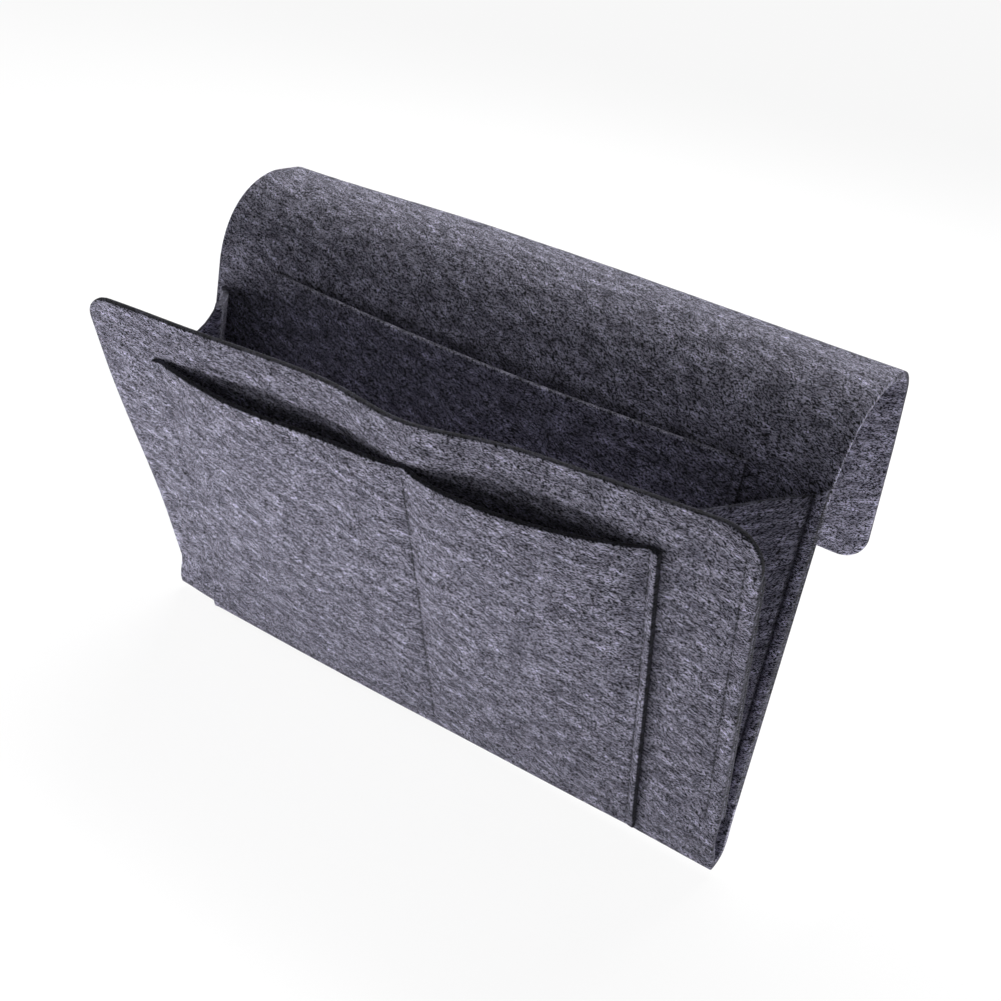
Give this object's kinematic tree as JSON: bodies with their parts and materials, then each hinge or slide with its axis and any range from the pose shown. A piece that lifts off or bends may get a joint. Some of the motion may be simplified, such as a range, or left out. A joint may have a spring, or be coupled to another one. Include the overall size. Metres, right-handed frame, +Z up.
{
  "type": "sofa armrest caddy",
  "caption": "Grey felt armrest caddy: an open pouch with pleated side gussets and stitched front pockets, hung by a flap that arches over a sofa arm.",
  "frame": {"origin": "on the rear face of the back panel, where it lies against the side of the armrest, midway across its width", "axes": "+X along the width, to the right as seen from the front; +Y towards the armrest; +Z up"},
  "size_m": [0.32, 0.1676, 0.2205],
  "materials": {
    "felt": "heathered matte felt",
    "thread": "dark sewing thread"
  },
  "bodies": {
    "back": {"back_panel": "felt", "inner_pocket": "felt", "inner_stitch_left": "thread", "inner_stitch_right": "thread", "gusset_left_rear_flange": "felt", "gusset_right_rear_flange": "felt", "rear_stitch_left": "thread", "rear_stitch_right": "thread"},
    "front": {"front_panel": "felt", "front_pocket": "felt", "pocket_stitch_left": "thread", "pocket_stitch_centre": "thread", "pocket_stitch_right": "thread", "gusset_left_front_flange": "felt", "gusset_right_front_flange": "felt", "front_stitch_left": "thread", "front_stitch_right": "thread"},
    "gusset_rear_left": {"gusset_left_rear_leaf": "felt"},
    "gusset_front_left": {"gusset_left_front_leaf": "felt"},
    "gusset_rear_right": {"gusset_right_rear_leaf": "felt"},
    "gusset_front_right": {"gusset_right_front_leaf": "felt"},
    "flap": {"flap_arch": "felt"},
    "tail": {"flap_tail": "felt"}
  },
  "joints": [
    {"name": "front_open", "type": "hinge", "parent": "back", "child": "front", "pos_m": [0, -0.0063, -0.0945], "axis": [-1, 0, 0], "range_deg": [0, 12]},
    {"name": "gusset_rear_left_fold", "type": "hinge", "parent": "back", "child": "gusset_rear_left", "pos_m": [-0.152, -0.0063, -0.0945], "axis": [0, 0, 1], "range_deg": [0, 29.5]},
    {"name": "gusset_front_left_fold", "type": "hinge", "parent": "front", "child": "gusset_front_left", "pos_m": [-0.152, -0.0063, -0.0945], "axis": [0, 0.4035, -0.915], "range_deg": [0, 29.5]},
    {"name": "gusset_rear_right_fold", "type": "hinge", "parent": "back", "child": "gusset_rear_right", "pos_m": [0.152, -0.0063, -0.0945], "axis": [0, 0, -1], "range_deg": [0, 24.5]},
    {"name": "gusset_front_right_fold", "type": "hinge", "parent": "front", "child": "gusset_front_right", "pos_m": [0.152, -0.0063, -0.0945], "axis": [0, -0.279, 0.9603], "range_deg": [0, 24.5]},
    {"name": "flap_lift", "type": "hinge", "parent": "back", "child": "flap", "pos_m": [0, -0.00221, 0.08318], "axis": [1, 0, 0], "range_deg": [0, 50]},
    {"name": "tail_unfold", "type": "hinge", "parent": "flap", "child": "tail", "pos_m": [0, 0.06471, 0.10636], "axis": [1, 0, 0], "range_deg": [0, 80]}
  ],
  "couplings": [
    {"joint": "gusset_rear_left_fold", "follows": "front_open", "ratio": 2.4306},
    {"joint": "gusset_front_left_fold", "follows": "front_open", "ratio": 2.4306},
    {"joint": "gusset_rear_right_fold", "follows": "front_open", "ratio": 2.0182},
    {"joint": "gusset_front_right_fold", "follows": "front_open", "ratio": 2.0182}
  ]
}
